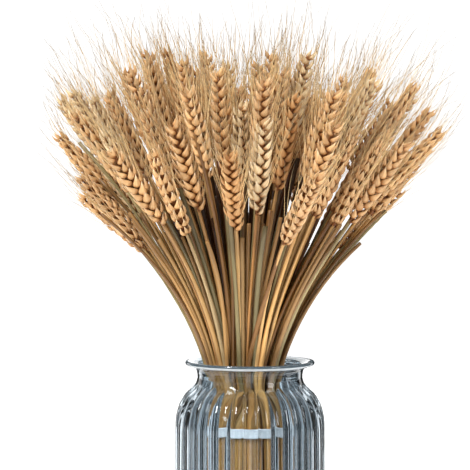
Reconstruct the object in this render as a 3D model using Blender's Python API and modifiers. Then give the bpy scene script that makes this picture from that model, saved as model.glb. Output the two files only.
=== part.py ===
"""Bouquet of dried bearded wheat ears, tied with a clear band and standing in a ribbed glass vase.

Metres, +Z up. The origin is the centre of the vase's foot, and the bouquet's front faces -Y.
Every wheat node holds two neighbouring stalks whose straws lean together at the foot.
"""

import math
import random

import bmesh
import bpy
import numpy as np
from mathutils import Matrix, Vector

MM = 0.001

# Vase: its wall as radius and height in millimetres, first up the inside, then down the outside
VASE_STEPS = 72
RIB_COUNT = 36
RIB_DEPTH = 1.4
RIBS_LOW_Z = 6
RIBS_HIGH_Z = 151
RIBS_FADE = 8
VASE_FLOOR_TOP = 8
INSIDE_MM = [
    (0, VASE_FLOOR_TOP), (47, VASE_FLOOR_TOP), (56.6, 19), (56.6, 119), (53.6, 133),
    (42.6, 147.5), (40, 153), (40.3, 163.2), (44.2, 168), (49.4, 171),
]
OUTSIDE_MM = [
    (51, 171), (51.4, 169.8), (50.6, 168.6), (44, 164.4), (42.6, 156.5), (45.6, 151),
    (52.6, 144), (57.6, 134.5), (60, 121), (60, 20), (57.2, 8), (50, 0), (0, 0),
]

# Clear band round the bundle, in millimetres
BAND_LOW_Z = 112
BAND_HIGH_Z = 120
BAND_INNER_RADIUS = 24.2
BAND_THICKNESS = 0.8
BAND_STEPS = 18

# Where the stalks stand in the bundle, and how they fan out above it. Each pair of stalks has a draw of
# random numbers of its own, the first that keeps it clear of the pairs before it.
SEED = 9
DRAWS = (
    0, 0, 0, 0, 0, 1, 0, 0, 0, 1, 8, 0, 2, 0, 0, 1, 0, 1, 0, 0, 0, 2, 0, 3, 0, 1, 0, 0, 0, 0, 0, 0,
    0, 0, 0, 0, 0, 1, 0, 1, 0, 0, 1, 0, 0,
)
PAIRS = len(DRAWS)
GOLDEN_ANGLE = math.pi * (3 - math.sqrt(5))
FOOT_Z = (VASE_FLOOR_TOP + 0.6) * MM
BUNDLE_RADIUS = 20.5 * MM
TWIN_TURN = math.radians(93)
TWIN_FOOT = 0.8 * MM
TWIN_TIE = 1.1 * MM
TWIN_SPREAD = 0.065
PLACE_JITTER = 0.035
DEPTH_SQUEEZE = 0.8
FAN_LEAN = math.radians(38)
DROOP = (0, math.radians(22))
STRAIGHT_END = 65 * MM
FAN_END = 268 * MM
DROOP_LOW = 150 * MM
DROOP_HIGH = 20 * MM
LEFT_SHIFT = 5 * MM
LEFT_SHIFT_LOW = 110 * MM
LEFT_SHIFT_HIGH = 160 * MM
INNER_LENGTH = 418 * MM
OUTER_SHORTER = 56 * MM
OUTER_POWER = 6
OUTER_SPARED_IN_FRONT = 0.5
FRONT_SHORTER = 26 * MM
FRONT_EVENER = 0.6
LENGTH_JITTER = (-40 * MM, 14 * MM)
PATH_STEP = 5 * MM

# Straw and ear
TIED_RADIUS = 1.5 * MM
STRAW_RADIUS = 1.8 * MM
NECK_RADIUS = 1.4 * MM
TIED_END = 110 * MM
STRAW_RINGS = (0, TIED_END, 165 * MM, 220 * MM)
EAR_LENGTH = 78 * MM
EAR_HALF_WIDTH = 7.2 * MM
EAR_HALF_DEPTH = 4.8 * MM
SPIKELETS = 11
EAR_SPIN = math.radians(50)
TIP_RADIUS = 0.6 * MM

# Awns, the long bristles of a bearded ear
AWN_RADIUS = 0.6 * MM
AWN_PAST_TIP = (26 * MM, 44 * MM)
AWN_OUTER_SHORTER = 0.4
AWN_STARTS = ((0.45, 0.85), (0.65,))
AWN_SPREAD = 0.42
AWN_LIFT = Vector((0, 0, 0.4))
AWN_CLEAR = 0.5 * MM
AWN_TRIES = 80


def smooth(share):
    """Eases from 0 to 1 as share goes from 0 to 1."""
    share = min(max(share, 0.0), 1.0)
    return share * share * (3 - 2 * share)


class Stalk:
    """The centreline of one straw and its ear, from the cut foot to the ear's tip."""

    def __init__(self, pair, side):
        self.draw = random.Random(SEED * 100000 + DRAWS[pair] * 1000 + pair * 2 + (side > 0))
        rho = math.sqrt((pair + 0.5) / PAIRS)
        turn = pair * GOLDEN_ANGLE
        twin = Vector((math.cos(turn + TWIN_TURN), math.sin(turn + TWIN_TURN), 0)) * side
        bundle = Vector((math.cos(turn), math.sin(turn), 0)) * rho
        fan = bundle + twin * TWIN_SPREAD
        fan.x += self.draw.uniform(-PLACE_JITTER, PLACE_JITTER)
        fan.y += self.draw.uniform(-PLACE_JITTER, PLACE_JITTER)
        self.reach = fan.length
        front = max(0.0, -fan.y)
        outer = min(self.reach, 1) ** OUTER_POWER * (1 - OUTER_SPARED_IN_FRONT * front)
        jitter = self.draw.uniform(*LENGTH_JITTER) * (1 - FRONT_EVENER * front)
        self.length = INNER_LENGTH - OUTER_SHORTER * outer - FRONT_SHORTER * front + jitter
        self.droop = self.draw.uniform(*DROOP) * self.reach
        self.away = fan.normalized()
        self.ear_start = self.length - EAR_LENGTH
        foot = bundle * BUNDLE_RADIUS + twin * TWIN_FOOT + Vector((0, 0, FOOT_Z))
        drift = twin * (TWIN_TIE - TWIN_FOOT) / STRAIGHT_END
        self.points = self.walk(foot, drift)
        spin = self.draw.uniform(-EAR_SPIN, EAR_SPIN)
        around = Vector((-self.away.y, self.away.x, 0))
        self.wide_hint = around * math.cos(spin) + self.away * math.sin(spin)

    def walk(self, foot, drift):
        """Points a step apart along the centreline, which leans out more and more above the band.

        It droops outward from DROOP_LOW to DROOP_HIGH below the ear's tip. The whole bundle also leans
        a little to the left as it passes through the vase's neck.
        """
        count = round(self.length / PATH_STEP)
        self.step = self.length / count
        points = [foot]
        for k in range(count):
            along = (k + 0.5) * self.step
            lean = self.reach * FAN_LEAN * smooth((along - STRAIGHT_END) / (FAN_END - STRAIGHT_END))
            lean += self.droop * smooth((along - self.length + DROOP_LOW) / (DROOP_LOW - DROOP_HIGH))
            out = self.away * math.sin(lean)
            heading = Vector((out.x, out.y * DEPTH_SQUEEZE, math.cos(lean)))
            if along < STRAIGHT_END:
                heading += drift
            points.append(points[-1] + heading.normalized() * self.step)
        for k, point in enumerate(points):
            rise = (k * self.step - LEFT_SHIFT_LOW) / (LEFT_SHIFT_HIGH - LEFT_SHIFT_LOW)
            point.x -= LEFT_SHIFT * smooth(rise)
        return points

    def at(self, along):
        """The point at this length along the centreline, and the heading there."""
        k = min(max(int(along / self.step), 0), len(self.points) - 2)
        heading = (self.points[k + 1] - self.points[k]).normalized()
        return self.points[k] + heading * (along - k * self.step), heading

    def frame(self, along):
        """The point at this length, the heading, the ear's wide way and its deep way."""
        point, heading = self.at(along)
        deep = heading.cross(self.wide_hint).normalized()
        wide = deep.cross(heading).normalized()
        return point, heading, wide, deep


def straw_ring(stalk, along, radius):
    """Four corners round the straw."""
    point, _, wide, deep = stalk.frame(along)
    return [point + wide * radius, point + deep * radius, point - wide * radius, point - deep * radius]


def ear_ring(stalk, k):
    """Four corners of the ear at its k-th spikelet. Spikelets stand left and right in turn.

    On the spikelet's own side the corner is its tip, pushed out and up. On the other side it is the
    notch under the next spikelet, drawn in and down, and the front and back ridges swing to and fro.
    """
    pitch = EAR_LENGTH / (SPIKELETS + 1)
    share = (k + 0.5) / SPIKELETS
    plump = 0.62 + 0.38 * smooth(share / 0.3) - 0.42 * smooth((share - 0.45) / 0.55)
    middle = stalk.ear_start + (k + 0.6) * pitch
    own_side = 1 if k % 2 == 0 else -1
    corners = []
    for side in (1, -1):
        is_tip = side == own_side
        point, _, wide, _ = stalk.frame(middle + pitch * (0.55 if is_tip else -0.55))
        corners.append(point + wide * side * EAR_HALF_WIDTH * plump * (1 if is_tip else 0.42))
    ridges = []
    for face in (1, -1):
        point, _, wide, deep = stalk.frame(middle)
        swing = wide * own_side * EAR_HALF_WIDTH * plump * 0.26
        ridges.append(point + swing + deep * face * EAR_HALF_DEPTH * plump)
    return [corners[0], ridges[0], corners[1], ridges[1]]


def loft(name, rings, tip):
    """A closed body through rings of equal count, capped at the first ring and brought to a point at tip."""
    bm = bmesh.new()
    rows = [[bm.verts.new(corner) for corner in ring] for ring in rings]
    count = len(rows[0])
    bm.faces.new(reversed(rows[0]))
    for low, high in zip(rows, rows[1:]):
        for i in range(count):
            j = (i + 1) % count
            bm.faces.new((low[i], low[j], high[j], high[i]))
    point = bm.verts.new(tip)
    for i in range(count):
        bm.faces.new((rows[-1][i], rows[-1][(i + 1) % count], point))
    bmesh.ops.recalc_face_normals(bm, faces=bm.faces)
    return new_object(name, bm)


def new_object(name, bm):
    """A linked object with this bmesh as its mesh."""
    mesh = bpy.data.meshes.new(name)
    bm.to_mesh(mesh)
    bm.free()
    made = bpy.data.objects.new(name, mesh)
    bpy.context.scene.collection.objects.link(made)
    return made


def stalk_body(name, stalk, awn_tip):
    """Straw, ear and the ear's own topmost awn in one loft."""
    rings = [
        straw_ring(stalk, along, TIED_RADIUS if along <= TIED_END else STRAW_RADIUS) for along in STRAW_RINGS
    ]
    rings.append(straw_ring(stalk, stalk.ear_start, NECK_RADIUS))
    rings += [ear_ring(stalk, k) for k in range(SPIKELETS)]
    rings.append(straw_ring(stalk, stalk.length, TIP_RADIUS))
    return loft(name, rings, awn_tip)


def needle(name, start, end):
    """A three-sided tapering awn from start to its point at end."""
    bm = bmesh.new()
    length = (end - start).length
    bmesh.ops.create_cone(bm, cap_ends=True, segments=3, radius1=AWN_RADIUS, radius2=0, depth=length)
    turn = (end - start).to_track_quat("Z", "Y").to_matrix().to_4x4()
    bm.transform(Matrix.Translation((start + end) / 2) @ turn)
    return new_object(name, bm)


def gaps(starts, ends, others):
    """The least gap from each of the segments to the others, given as rows of start, end and radius."""
    p = np.array(starts)[:, None]
    d1 = np.array(ends)[:, None] - p
    q = others[None, :, 0:3]
    d2 = others[None, :, 3:6] - q
    across = p - q
    a = (d1 * d1).sum(-1)
    e = (d2 * d2).sum(-1)
    b = (d1 * d2).sum(-1)
    c = (d1 * across).sum(-1)
    f = (d2 * across).sum(-1)
    s = np.clip((b * f - c * e) / np.maximum(a * e - b * b, 1e-15), 0, 1)
    t = np.clip((b * s + f) / e, 0, 1)
    s = np.clip((b * t - c) / a, 0, 1)
    nearest = across + s[..., None] * d1 - t[..., None] * d2
    return (np.linalg.norm(nearest, axis=-1) - others[None, :, 6]).min(axis=1) - AWN_RADIUS


def stalk_segments(stalk):
    """The straw and ear as rows of start, end and radius."""
    rows = []
    ends = [*STRAW_RINGS, stalk.ear_start]
    ends += [stalk.ear_start + EAR_LENGTH * share for share in (0.33, 0.67, 1)]
    for low, high in zip(ends, ends[1:]):
        radius = EAR_HALF_WIDTH if high > stalk.ear_start else STRAW_RADIUS
        rows.append([*stalk.at(low)[0], *stalk.at(high)[0], radius])
    return rows


def clear_tip(stalk, start, heading, share, others):
    """The tip of an awn that leaves the ear at this share of its length and clears the others, or None.

    Awns leave near this heading, turned up a little, and all of an ear's awns end about level.
    """
    below_tip = EAR_LENGTH * (1 - share)
    shorter = 1 - AWN_OUTER_SHORTER * stalk.reach
    starts, ends = [], []
    for attempt in range(AWN_TRIES):
        loose = 0.12 + 0.5 * attempt / AWN_TRIES
        bend = Vector([stalk.draw.gauss(0, loose) for _ in range(3)])
        way = (heading + AWN_LIFT + bend).normalized()
        starts.append(start + way * AWN_RADIUS)
        ends.append(start + way * (below_tip + stalk.draw.uniform(*AWN_PAST_TIP) * shorter))
    clear = gaps(starts, ends, others) > AWN_CLEAR
    return ends[int(np.argmax(clear))] if clear.any() else None


def side_awn_start(stalk, share, side):
    """Where an awn leaves a spikelet at this share of the ear's length, and its heading."""
    point, heading, wide, deep = stalk.frame(stalk.ear_start + EAR_LENGTH * share)
    start = point + wide * side * EAR_HALF_WIDTH * 0.12
    return start, heading + wide * side * AWN_SPREAD + deep * stalk.draw.uniform(-AWN_SPREAD, AWN_SPREAD)


def joined(base, tools):
    """The base and the tools as one body, made by one union, with the tools removed."""
    group = bpy.data.collections.new("tools")
    for tool in tools:
        group.objects.link(tool)
    union = base.modifiers.new("union", "BOOLEAN")
    union.operation = "UNION"
    union.operand_type = "COLLECTION"
    union.collection = group
    union.solver = "EXACT"
    graph = bpy.context.evaluated_depsgraph_get()
    base.data = bpy.data.meshes.new_from_object(base.evaluated_get(graph))
    base.modifiers.clear()
    for tool in tools:
        bpy.data.objects.remove(tool)
    bpy.data.collections.remove(group)
    return base


def wheat_nodes(material):
    """Every pair of stalks as one node, with awns that pass clear of all other nodes."""
    pairs = [(Stalk(pair, -1), Stalk(pair, 1)) for pair in range(PAIRS)]
    segments = [[row for stalk in pair for row in stalk_segments(stalk)] for pair in pairs]
    nodes = []
    for number, pair in enumerate(pairs):
        others = np.array([row for k, rows in enumerate(segments) if k != number for row in rows])
        parts = []
        for stalk, shares in zip(pair, AWN_STARTS):
            apex, heading = stalk.at(stalk.length)
            tip = clear_tip(stalk, apex, heading, 1, others) or apex + heading * AWN_PAST_TIP[0] / 2
            parts.append(stalk_body("stalk", stalk, tip))
            segments[number].append([*apex, *tip, AWN_RADIUS])
            for share, side in zip(shares, (1, -1)):
                start, heading = side_awn_start(stalk, share, side)
                tip = clear_tip(stalk, start, heading, share, others)
                if tip:
                    parts.append(needle("awn", start, tip))
                    segments[number].append([*start, *tip, AWN_RADIUS])
        node = joined(parts[0], parts[1:])
        node.name = f"wheat_{number + 1:02d}"
        node.data.materials.clear()
        node.data.materials.append(material)
        nodes.append(node)
    return nodes


def turned(name, profile_mm, closed, steps):
    """A body turned round Z from a profile of radius and height in millimetres."""
    bm = bmesh.new()
    verts = [bm.verts.new((r * MM, 0, z * MM)) for r, z in profile_mm]
    for a, b in zip(verts, verts[1:] + verts[:1] if closed else verts[1:]):
        bm.edges.new((a, b))
    made = new_object(name, bm)
    screw = made.modifiers.new("turn", "SCREW")
    screw.steps = screw.render_steps = steps
    screw.use_merge_vertices = True
    screw.merge_threshold = 0.01 * MM
    graph = bpy.context.evaluated_depsgraph_get()
    made.data = bpy.data.meshes.new_from_object(made.evaluated_get(graph))
    made.modifiers.clear()
    return made


def round_off(thing, sharp_degrees):
    """Shades a turned body smooth, except at edges sharper than this."""
    thing.data.shade_smooth()
    thing.data.set_sharp_from_angle(angle=math.radians(sharp_degrees))


def outside_radius(z):
    """The vase's outer radius at this height below the neck, both in millimetres."""
    wall = sorted((height, radius) for radius, height in OUTSIDE_MM[:-1] if height <= RIBS_HIGH_Z)
    return float(np.interp(z, [w[0] for w in wall], [w[1] for w in wall]))


def press_ribs(vase):
    """Draws the outer wall in between the ribs, with the ribs fading out at the shoulder and the foot."""
    for vert in vase.data.vertices:
        z = vert.co.z / MM
        radius = math.hypot(vert.co.x, vert.co.y) / MM
        if not RIBS_LOW_Z < z < RIBS_HIGH_Z or radius < outside_radius(z) - 0.2:
            continue
        fade = smooth((RIBS_HIGH_Z - z) / RIBS_FADE) * smooth((z - RIBS_LOW_Z) / RIBS_FADE + 0.3)
        angle = math.atan2(vert.co.y, vert.co.x)
        groove = RIB_DEPTH * fade * (1 - math.cos(RIB_COUNT * angle)) / 2
        shrink = (radius - groove) / radius
        vert.co.x *= shrink
        vert.co.y *= shrink


def make_vase(material):
    """The hollow glass vase with its flared lip, neck, ribbed shoulder and wall, and flat foot."""
    vase = turned("vase", INSIDE_MM + OUTSIDE_MM, False, VASE_STEPS)
    press_ribs(vase)
    round_off(vase, 35)
    vase.data.materials.append(material)
    return vase


def make_band(material):
    """The clear band that holds the bundle together inside the vase."""
    inner = BAND_INNER_RADIUS
    outer = inner + BAND_THICKNESS
    profile = [(inner, BAND_LOW_Z), (inner, BAND_HIGH_Z), (outer, BAND_HIGH_Z), (outer, BAND_LOW_Z)]
    band = turned("band", profile, True, BAND_STEPS)
    round_off(band, 40)
    band.data.materials.append(material)
    return band


def new_material(name, color, roughness, transmission=0.0):
    """A Principled material of one colour."""
    material = bpy.data.materials.new(name)
    material.use_nodes = True
    shader = material.node_tree.nodes["Principled BSDF"]
    shader.inputs["Base Color"].default_value = (*color, 1)
    shader.inputs["Roughness"].default_value = roughness
    shader.inputs["Metallic"].default_value = 0
    shader.inputs["Transmission Weight"].default_value = transmission
    material.diffuse_color = (*color, 1)
    return material


def main():
    """Clears the scene and builds the vase, the band and the wheat in a collection of their own."""
    for old in list(bpy.data.objects):
        bpy.data.objects.remove(old)
    glass = new_material("ribbed_glass", (0.80, 0.87, 0.90), 0.03, 1.0)
    film = new_material("clear_band", (0.85, 0.87, 0.88), 0.2, 0.6)
    straw = new_material("dried_wheat", (0.64, 0.42, 0.18), 0.6)
    made = [make_vase(glass), make_band(film), *wheat_nodes(straw)]
    bouquet = bpy.data.collections.new("wheat_bouquet")
    bpy.context.scene.collection.children.link(bouquet)
    for thing in made:
        bpy.context.scene.collection.objects.unlink(thing)
        bouquet.objects.link(thing)


main()
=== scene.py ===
"""Looks of a dried wheat bouquet standing in a ribbed glass vase.

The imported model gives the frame: the vase, a clear band and forty-five pairs of wheat stalks. Each
pair is replaced by a finer piece on the same centrelines, with round straws, husks and fine awns.
"""

import logging
import math
import random
from dataclasses import dataclass, field
from enum import Enum

import bpy
import numpy as np
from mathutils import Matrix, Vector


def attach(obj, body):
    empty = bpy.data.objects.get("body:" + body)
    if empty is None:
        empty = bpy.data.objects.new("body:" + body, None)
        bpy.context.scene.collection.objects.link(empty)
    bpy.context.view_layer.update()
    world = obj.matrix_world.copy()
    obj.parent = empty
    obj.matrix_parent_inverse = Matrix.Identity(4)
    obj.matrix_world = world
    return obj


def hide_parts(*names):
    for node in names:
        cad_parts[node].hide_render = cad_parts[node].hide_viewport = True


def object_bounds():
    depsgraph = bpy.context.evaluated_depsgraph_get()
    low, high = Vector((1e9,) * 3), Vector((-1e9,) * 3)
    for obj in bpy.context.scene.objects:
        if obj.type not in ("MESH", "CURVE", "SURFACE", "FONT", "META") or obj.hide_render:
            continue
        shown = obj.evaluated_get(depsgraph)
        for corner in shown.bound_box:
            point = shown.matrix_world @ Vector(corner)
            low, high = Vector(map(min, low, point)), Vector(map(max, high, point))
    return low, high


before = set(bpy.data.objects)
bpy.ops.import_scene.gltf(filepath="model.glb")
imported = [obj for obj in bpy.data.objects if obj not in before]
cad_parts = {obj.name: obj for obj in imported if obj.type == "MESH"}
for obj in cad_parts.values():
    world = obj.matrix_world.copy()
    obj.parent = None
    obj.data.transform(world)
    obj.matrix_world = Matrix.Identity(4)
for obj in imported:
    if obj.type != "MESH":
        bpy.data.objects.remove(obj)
CAD_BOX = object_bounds()

LOG = logging.getLogger("wheat_bouquet")
MM = 0.001
BODY = "root"
Array = np.ndarray
GLASS_IOR = 1.52
# A Mix node has several sockets of the same name, so its colour sockets are found by number
MIX_SHARE, MIX_UNDER, MIX_OVER, MIX_RESULT = 0, 6, 7, 2


def smooth(share: float | Array) -> float | Array:
    """Eases from 0 to 1 as share goes from 0 to 1."""
    share = np.clip(share, 0.0, 1.0)
    return share * share * (3 - 2 * share)


def linear(hex_color: str) -> tuple[float, float, float]:
    """Turns an sRGB hex colour into linear light.

    Args:
        hex_color: Six hex digits, with or without a leading hash.

    Returns:
        Red, green and blue from 0 to 1.
    """
    digits = hex_color.lstrip("#")
    parts = [int(digits[i : i + 2], 16) / 255 for i in (0, 2, 4)]
    return tuple(c / 12.92 if c <= 0.04045 else ((c + 0.055) / 1.055) ** 2.4 for c in parts)


def shades(*hex_colors: str) -> Array:
    """Linear colours as rows."""
    return np.array([linear(c) for c in hex_colors])


def unit(vectors: Array) -> Array:
    """Scales the last axis to length 1."""
    return vectors / np.maximum(np.linalg.norm(vectors, axis=-1, keepdims=True), 1e-12)


def add_node(
    tree: bpy.types.NodeTree, kind: str, settings: dict | None = None, links: dict | None = None
) -> bpy.types.Node:
    """Adds one node with its settings and links.

    Args:
        tree: The node tree it goes into.
        kind: The node's type name.
        settings: Property or input names with their values.
        links: Input names or numbers with the sockets that feed them.

    Returns:
        The new node.
    """
    node = tree.nodes.new(kind)
    for name, value in (settings or {}).items():
        if isinstance(name, int) or name in node.inputs:
            node.inputs[name].default_value = value
        else:
            setattr(node, name, value)
    for name, source in (links or {}).items():
        tree.links.new(source, node.inputs[name])
    return node


def node_material(name: str) -> tuple[bpy.types.Material, bpy.types.NodeTree, bpy.types.Node]:
    """Makes a material with nodes.

    Args:
        name: Its name.

    Returns:
        The material, its node tree and its surface shader.
    """
    made = bpy.data.materials.new(name)
    made.use_nodes = True
    return made, made.node_tree, made.node_tree.nodes["Principled BSDF"]


def placed(name: str, data: bpy.types.ID) -> bpy.types.Object:
    """Makes an object in the scene.

    Args:
        name: Its name.
        data: Its mesh, lamp or camera.

    Returns:
        The object.
    """
    made = bpy.data.objects.new(name, data)
    bpy.context.scene.collection.objects.link(made)
    return made


@dataclass(frozen=True)
class DryPlant:
    """Dried plant matter, coloured by the piece's tint and streaked along its growth; the tint holds
    painted shade at husk roots and on inner straws.

    Husk and straw dry to a dull gold with a slight silky sheen along the fibres. The streaks are drawn
    about three times coarser than real fibres, so that they show. A little light passes into it.
    """

    name: str
    roughness: float
    streaks_around: float
    streak_length_mm: float
    streak_dark: str
    streak_share: float
    glow: float
    bump_mm: float

    def material(self) -> bpy.types.Material:
        """Builds the material.

        Returns:
            The material, for one slot of a piece.
        """
        made, tree, shader = node_material(self.name)
        tint = add_node(tree, "ShaderNodeAttribute", {"attribute_name": "tint"})
        grain = add_node(tree, "ShaderNodeUVMap", {"uv_map": "grain"})
        spread = add_node(
            tree,
            "ShaderNodeMapping",
            {"Scale": (self.streaks_around, 1 / (self.streak_length_mm * MM), 1)},
            {"Vector": grain.outputs["UV"]},
        )
        fibres = add_node(
            tree,
            "ShaderNodeTexNoise",
            {"Scale": 1.0, "Detail": 3.0, "Roughness": 0.6},
            {"Vector": spread.outputs[0]},
        )
        share = add_node(
            tree,
            "ShaderNodeMapRange",
            {"From Min": 0.38, "From Max": 0.66, "To Min": 0.0, "To Max": self.streak_share},
            {"Value": fibres.outputs["Fac"]},
        )
        color = add_node(
            tree,
            "ShaderNodeMix",
            {"data_type": "RGBA", "blend_type": "MULTIPLY"},
            {MIX_SHARE: share.outputs["Result"], MIX_UNDER: tint.outputs["Color"]},
        )
        color.inputs[MIX_OVER].default_value = (*linear(self.streak_dark), 1)
        tree.links.new(color.outputs[MIX_RESULT], shader.inputs["Base Color"])
        relief = {"Strength": 0.5, "Distance": self.bump_mm * MM}
        bump = add_node(tree, "ShaderNodeBump", relief, {"Height": fibres.outputs["Fac"]})
        tree.links.new(bump.outputs["Normal"], shader.inputs["Normal"])
        shader.inputs["Roughness"].default_value = self.roughness
        shader.inputs["IOR"].default_value = 1.45
        shader.inputs["Subsurface Weight"].default_value = self.glow
        shader.inputs["Subsurface Radius"].default_value = (1.0, 0.6, 0.3)
        shader.inputs["Subsurface Scale"].default_value = 0.8 * MM
        return made


def add_ripple(tree: bpy.types.NodeTree, ripple_mm: float) -> bpy.types.Node:
    """Adds the soft unevenness that a mould leaves on glass.

    Args:
        tree: The node tree of the glass.
        ripple_mm: The length of one wave in millimetres.

    Returns:
        The noise node that the waves come from.
    """
    place = add_node(tree, "ShaderNodeTexCoord")
    waves = {"Scale": 1 / (ripple_mm * MM), "Detail": 1.0}
    ripple = add_node(tree, "ShaderNodeTexNoise", waves, {"Vector": place.outputs["Object"]})
    relief = {"Strength": 0.2, "Distance": 0.4 * MM}
    bump = add_node(tree, "ShaderNodeBump", relief, {"Height": ripple.outputs["Fac"]})
    tree.links.new(bump.outputs["Normal"], tree.nodes["Principled BSDF"].inputs["Normal"])
    return ripple


@dataclass(frozen=True)
class PressedGlass:
    """Pressed soda-lime glass with a faint blue-grey cast, thick enough to draw dark lines at its edges.

    The mould leaves it clear and smooth, with a soft ripple that bends what is behind it.
    """

    name: str = "pressed_soda_lime_glass"
    tint: str = "#C3CED5"
    roughness: float = 0.01
    ripple_mm: float = 22.0

    def material(self) -> bpy.types.Material:
        """Builds the material.

        Returns:
            The material, for one slot of a piece.
        """
        made, tree, shader = node_material(self.name)
        shader.inputs["Base Color"].default_value = (*linear(self.tint), 1)
        shader.inputs["Roughness"].default_value = self.roughness
        shader.inputs["IOR"].default_value = GLASS_IOR
        shader.inputs["Transmission Weight"].default_value = 1.0
        add_ripple(tree, self.ripple_mm)
        return made


@dataclass(frozen=True)
class PolishedLip:
    """The vase's fire-polished lip: the same glass, so thick that it looks slate grey and a little milky.

    The flame leaves its gloss uneven, a little duller where the ripple is high.
    """

    name: str = "fire_polished_lip"
    color: str = "#7F919C"
    clear: float = 0.7
    polish: tuple[float, float] = (0.03, 0.10)
    ripple_mm: float = 9.0

    def material(self) -> bpy.types.Material:
        """Builds the material.

        Returns:
            The material, for one slot of a piece.
        """
        made, tree, shader = node_material(self.name)
        ripple = add_ripple(tree, self.ripple_mm)
        gloss = {"To Min": self.polish[0], "To Max": self.polish[1]}
        polish = add_node(tree, "ShaderNodeMapRange", gloss, {"Value": ripple.outputs["Fac"]})
        tree.links.new(polish.outputs["Result"], shader.inputs["Roughness"])
        shader.inputs["Base Color"].default_value = (*linear(self.color), 1)
        shader.inputs["IOR"].default_value = GLASS_IOR
        shader.inputs["Transmission Weight"].default_value = self.clear
        return made


@dataclass(frozen=True)
class ClearFilm:
    """Clear blown polypropylene film, wrapped over itself until it is milky, its gloss broken by folds."""

    name: str = "clear_polypropylene_band"
    color: str = "#E6EAED"
    haze: tuple[float, float] = (0.18, 0.45)
    ior: float = 1.49
    clear: float = 0.2
    wrap_mm: float = 9.0

    def material(self) -> bpy.types.Material:
        """Builds the material.

        Returns:
            The material, for one slot of a piece.
        """
        made, tree, shader = node_material(self.name)
        place = add_node(tree, "ShaderNodeTexCoord")
        folds = {"Scale": 1 / (self.wrap_mm * MM), "Detail": 2.0}
        wrap = add_node(tree, "ShaderNodeTexNoise", folds, {"Vector": place.outputs["Object"]})
        spread = {"To Min": self.haze[0], "To Max": self.haze[1]}
        haze = add_node(tree, "ShaderNodeMapRange", spread, {"Value": wrap.outputs["Fac"]})
        tree.links.new(haze.outputs["Result"], shader.inputs["Roughness"])
        shader.inputs["Base Color"].default_value = (*linear(self.color), 1)
        shader.inputs["IOR"].default_value = self.ior
        shader.inputs["Transmission Weight"].default_value = self.clear
        return made


class Finish(Enum):
    """The dried plant finishes, in the order of a wheat piece's material slots."""

    # Papery and ribbed: dull, with a faint glow at the thin edges
    HUSK = DryPlant("dried_wheat_husk", 0.55, 2.6, 40, "#8A5A2A", 0.45, 0.06, 0.12)
    # Smooth and waxy: a narrow silky gloss along each straw
    STRAW = DryPlant("dried_wheat_straw", 0.37, 3.2, 60, "#62340E", 0.66, 0.03, 0.10)
    # Barbed bristles: they catch the light as pale lines
    AWN = DryPlant("dried_wheat_awn", 0.50, 1.0, 50, "#A98A58", 0.20, 0.05, 0.02)
    # Crisp and veined: the dullest of the four
    LEAF = DryPlant("dried_wheat_leaf", 0.62, 7.0, 45, "#6F5330", 0.60, 0.08, 0.15)


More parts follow.
